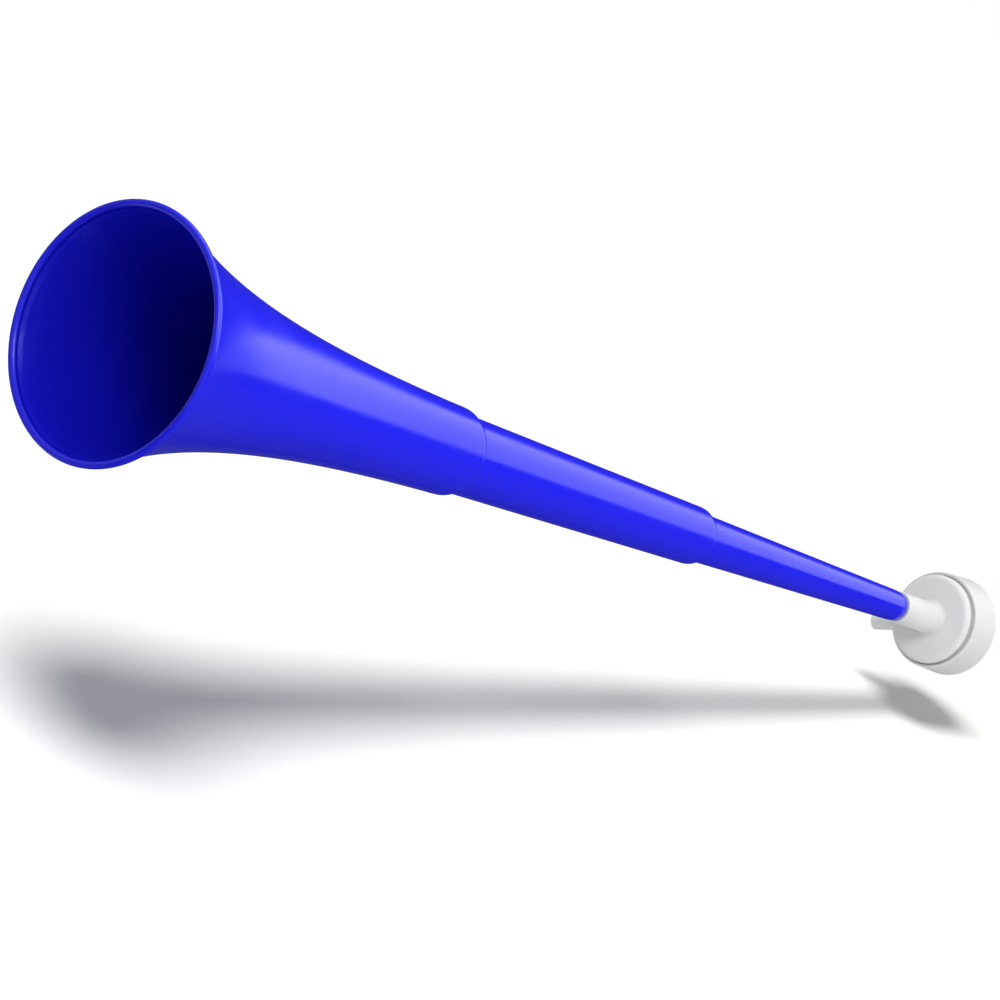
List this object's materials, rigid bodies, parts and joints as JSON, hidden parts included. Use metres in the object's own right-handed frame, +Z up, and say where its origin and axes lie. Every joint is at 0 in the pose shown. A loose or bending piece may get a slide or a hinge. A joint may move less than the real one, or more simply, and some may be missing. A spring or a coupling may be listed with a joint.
{
  "type": "vuvuzela",
  "caption": "Telescopic plastic stadium horn: flared bell, two sliding tube sections, and a mouthpiece with a side blow pipe and a membrane.",
  "frame": {"origin": "centre of the extended horn's bounding box, on the horn's axis midway between the bell's rim and the housing's back", "axes": "+X along the horn's axis from the bell to the mouthpiece, +Z up, the blow pipe on the +Y side and 32.5 degrees below the horizontal"},
  "size_m": [0.7218, 0.1198, 0.1198],
  "materials": {
    "blue_plastic": "glossy moulded plastic, deep blue",
    "white_plastic": "satin moulded plastic, white",
    "film": "thin stretched film, milky"
  },
  "bodies": {
    "bell": {"bell_section": "blue_plastic"},
    "middle": {"middle_section": "blue_plastic"},
    "narrow": {"narrow_section": "blue_plastic"},
    "neck": {"mouthpiece_neck": "white_plastic"},
    "chamber": {"blow_chamber": "white_plastic", "membrane": "film", "membrane_ring": "white_plastic"},
    "cap": {"rear_cap": "white_plastic"}
  },
  "joints": [
    {"name": "middle_slide", "type": "slide", "parent": "bell", "child": "middle", "axis": [-1, 0, 0], "range_m": [0, 0.2]},
    {"name": "narrow_slide", "type": "slide", "parent": "middle", "child": "narrow", "axis": [-1, 0, 0], "range_m": [0, 0.21]},
    {"name": "mouthpiece_pull", "type": "slide", "parent": "narrow", "child": "neck", "axis": [1, 0, 0], "range_m": [0, 0.025]},
    {"name": "chamber_swivel", "type": "hinge", "parent": "neck", "child": "chamber", "pos_m": [0.35, 0, 0], "axis": [1, 0, 0], "continuous": true},
    {"name": "cap_pull", "type": "slide", "parent": "chamber", "child": "cap", "axis": [1, 0, 0], "range_m": [0, 0.008]}
  ]
}
